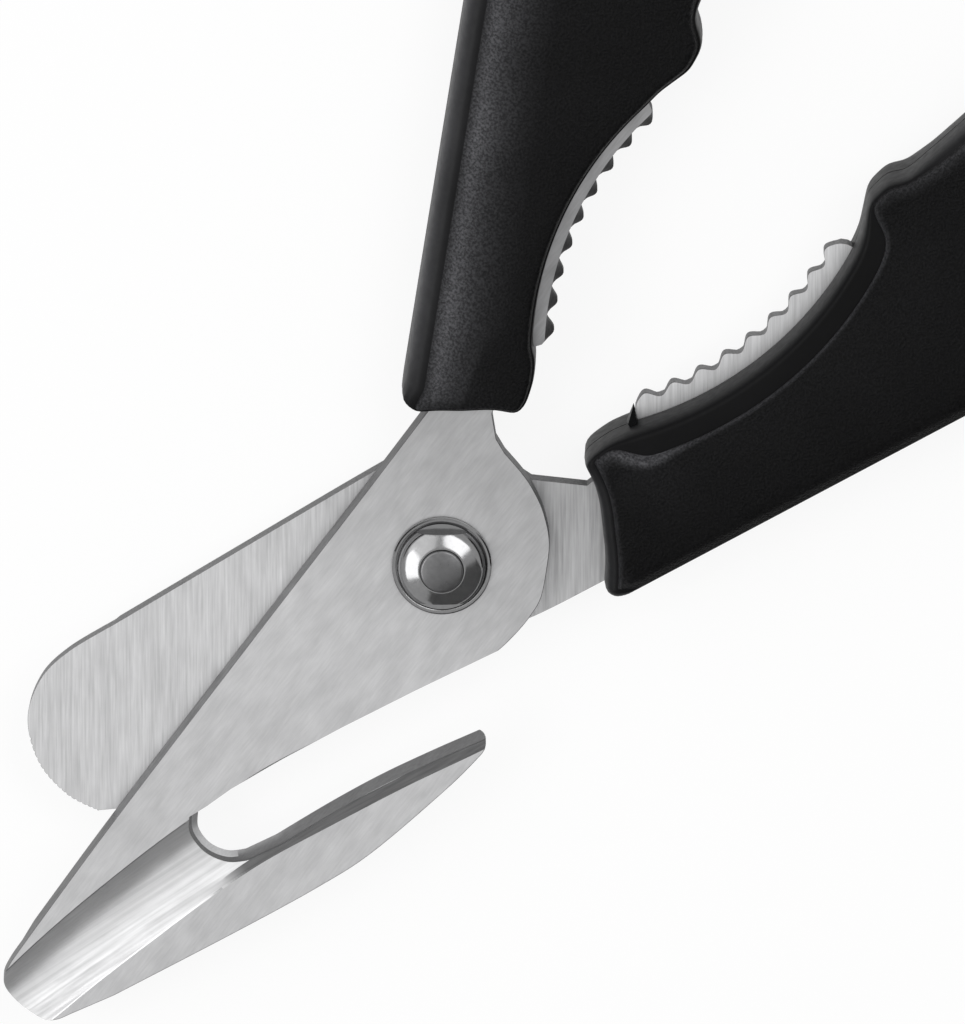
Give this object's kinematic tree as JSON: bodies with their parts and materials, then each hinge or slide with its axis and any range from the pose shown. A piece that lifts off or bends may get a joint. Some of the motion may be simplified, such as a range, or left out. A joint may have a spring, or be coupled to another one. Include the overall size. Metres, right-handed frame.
{
  "type": "seafood scissors",
  "caption": "Seafood scissors with a grooved, slotted front blade, a round-ended rear blade and toothed cracker strips set in moulded handles with finger loops.",
  "frame": {"origin": "on the pivot axis, at the centre of the flat back face of the pivot rivet", "axes": "+Y from the pivot towards the handles, along the line midway between them; +Z along the pivot axis towards the front face; +X towards the handle of the rear blade"},
  "size_m": [0.1116, 0.1852, 0.012],
  "materials": {
    "front_steel": "fine slanted brushing, ground bevels",
    "rear_steel": "fine brushing across the blade",
    "polished_steel": "polished",
    "black_plastic": "fine pebbled mould texture"
  },
  "bodies": {
    "front_half": {"front_blade": "front_steel", "pivot_rivet": "polished_steel", "pivot_collar": "polished_steel", "pivot_washer": "polished_steel", "left_handle_front_shell": "black_plastic", "left_handle_back_shell": "black_plastic"},
    "rear_half": {"rear_blade": "rear_steel", "right_handle_front_shell": "black_plastic", "right_handle_back_shell": "black_plastic"}
  },
  "joints": [
    {"name": "blade_hinge", "type": "hinge", "parent": "front_half", "child": "rear_half", "pos_m": [0, 0, 0], "axis": [0, 0, 1], "range_deg": [-30, 21]}
  ]
}
